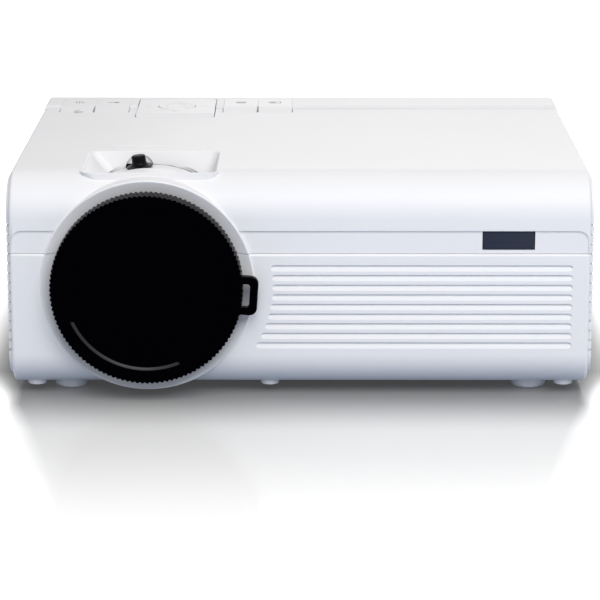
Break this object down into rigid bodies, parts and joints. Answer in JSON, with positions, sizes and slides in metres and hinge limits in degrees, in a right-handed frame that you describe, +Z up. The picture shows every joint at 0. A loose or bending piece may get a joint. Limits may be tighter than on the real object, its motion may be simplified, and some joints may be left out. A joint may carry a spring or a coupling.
{
  "type": "lcd projector",
  "caption": "Compact table-top LCD projector with a capped offset lens, a focus window in the curved top edge, a key row, louvred sides and a grooved front.",
  "frame": {"origin": "on the surface it stands on, below the middle of its overall box", "axes": "+X to the right seen from the lens side, +Y from the lens to the socket panel, +Z up"},
  "size_m": [0.201, 0.158, 0.0791],
  "materials": {
    "white_plastic": "fine satin texture",
    "key_plastic": "satin",
    "black_plastic": "satin black",
    "dark_plastic": "matt",
    "smoked_window": "gloss, infra-red pass",
    "light_pipe": "frosted",
    "lens_glass": "coated",
    "flat_glass": "clear",
    "mirror_glass": "front coated",
    "panel_glass": "polarised",
    "aluminium": "extruded",
    "steel": "plated",
    "brass": "turned",
    "circuit_board": "solder mask",
    "lamp_plate": "white coated",
    "foot_rubber": "soft, translucent"
  },
  "bodies": {
    "housing": {"top_cover": "white_plastic", "bottom_case": "white_plastic", "side_panel_left": "white_plastic", "side_panel_right": "white_plastic", "io_panel": "white_plastic", "av_jack": "black_plastic", "headphone_jack": "black_plastic", "power_inlet": "black_plastic", "lens_tube": "dark_plastic", "optical_chassis": "dark_plastic", "chassis_lid": "dark_plastic", "exhaust_fan_frame": "dark_plastic", "intake_fan_frame": "dark_plastic", "ir_receiver": "dark_plastic", "speaker": "dark_plastic", "ir_window": "smoked_window", "power_led_lens": "light_pipe", "front_fresnel": "flat_glass", "rear_fresnel": "flat_glass", "heat_glass": "flat_glass", "condenser_lens": "flat_glass", "fold_mirror": "mirror_glass", "lcd_panel": "panel_glass", "heat_sink": "aluminium", "led_module": "lamp_plate", "hdmi_socket": "steel", "usb_socket": "steel", "card_slot": "steel", "case_screw_1": "steel", "case_screw_2": "steel", "case_screw_3": "steel", "case_screw_4": "steel", "case_screw_5": "steel", "case_screw_6": "steel", "tripod_insert": "brass", "main_board": "circuit_board", "power_board": "circuit_board", "key_board": "circuit_board", "foot_front_left": "foot_rubber", "foot_front_right": "foot_rubber", "foot_rear_left": "foot_rubber", "foot_rear_right": "foot_rubber"},
    "lens_cap_body": {"lens_cap": "black_plastic"},
    "focus_body": {"focus_ring": "white_plastic", "focus_knob": "black_plastic"},
    "barrel_body": {"lens_barrel": "dark_plastic", "lens_retainer": "dark_plastic", "front_lens": "lens_glass", "middle_lens": "lens_glass", "rear_lens": "lens_glass"},
    "power_key_body": {"power_key": "key_plastic"},
    "back_key_body": {"back_key": "key_plastic"},
    "menu_key_body": {"menu_key": "key_plastic"},
    "source_key_body": {"source_key": "key_plastic"},
    "nav_gimbal_body": {"nav_gimbal": "key_plastic"},
    "nav_pad_body": {"nav_pad": "key_plastic"},
    "ok_body": {"ok_button": "key_plastic"},
    "exhaust_rotor_body": {"exhaust_fan_rotor": "black_plastic"},
    "intake_rotor_body": {"intake_fan_rotor": "black_plastic"}
  },
  "joints": [
    {"name": "cap_pull", "type": "slide", "parent": "housing", "child": "lens_cap_body", "axis": [0, -1, 0], "range_m": [0, 0.03]},
    {"name": "focus_turn", "type": "hinge", "parent": "housing", "child": "focus_body", "pos_m": [-0.0523, -0.0396, 0.04], "axis": [0, 1, 0], "range_deg": [-12, 28]},
    {"name": "barrel_slide", "type": "slide", "parent": "housing", "child": "barrel_body", "axis": [0, 1, 0], "range_m": [-0.00121, 0.00281]},
    {"name": "power_key_press", "type": "slide", "parent": "housing", "child": "power_key_body", "axis": [0, 0, -1], "range_m": [0, 0.0006], "stiffness_N_per_m": 400, "springref_m": -0.0005},
    {"name": "back_key_press", "type": "slide", "parent": "housing", "child": "back_key_body", "axis": [0, 0, -1], "range_m": [0, 0.0006], "stiffness_N_per_m": 400, "springref_m": -0.0005},
    {"name": "menu_key_press", "type": "slide", "parent": "housing", "child": "menu_key_body", "axis": [0, 0, -1], "range_m": [0, 0.0006], "stiffness_N_per_m": 400, "springref_m": -0.0005},
    {"name": "source_key_press", "type": "slide", "parent": "housing", "child": "source_key_body", "axis": [0, 0, -1], "range_m": [0, 0.0006], "stiffness_N_per_m": 400, "springref_m": -0.0005},
    {"name": "ok_press", "type": "slide", "parent": "housing", "child": "ok_body", "axis": [0, 0, -1], "range_m": [0, 0.0005], "stiffness_N_per_m": 400, "springref_m": -0.0005},
    {"name": "nav_tilt_front_back", "type": "hinge", "parent": "housing", "child": "nav_gimbal_body", "pos_m": [-0.048, 0.0575, 0.07485], "axis": [1, 0, 0], "range_deg": [-1.2, 1.2], "stiffness_Nm_per_rad": 0.6},
    {"name": "nav_tilt_sideways", "type": "hinge", "parent": "nav_gimbal_body", "child": "nav_pad_body", "pos_m": [-0.048, 0.0575, 0.07485], "axis": [0, 1, 0], "range_deg": [-1.2, 1.2], "stiffness_Nm_per_rad": 0.6},
    {"name": "exhaust_spin", "type": "hinge", "parent": "housing", "child": "exhaust_rotor_body", "pos_m": [0.092, 0.012, 0.04], "axis": [1, 0, 0], "continuous": true},
    {"name": "intake_spin", "type": "hinge", "parent": "housing", "child": "intake_rotor_body", "pos_m": [-0.092, 0.0425, 0.04], "axis": [1, 0, 0], "continuous": true}
  ],
  "couplings": [
    {"joint": "barrel_slide", "follows": "focus_turn", "m_per_rad": 0.0057296}
  ]
}
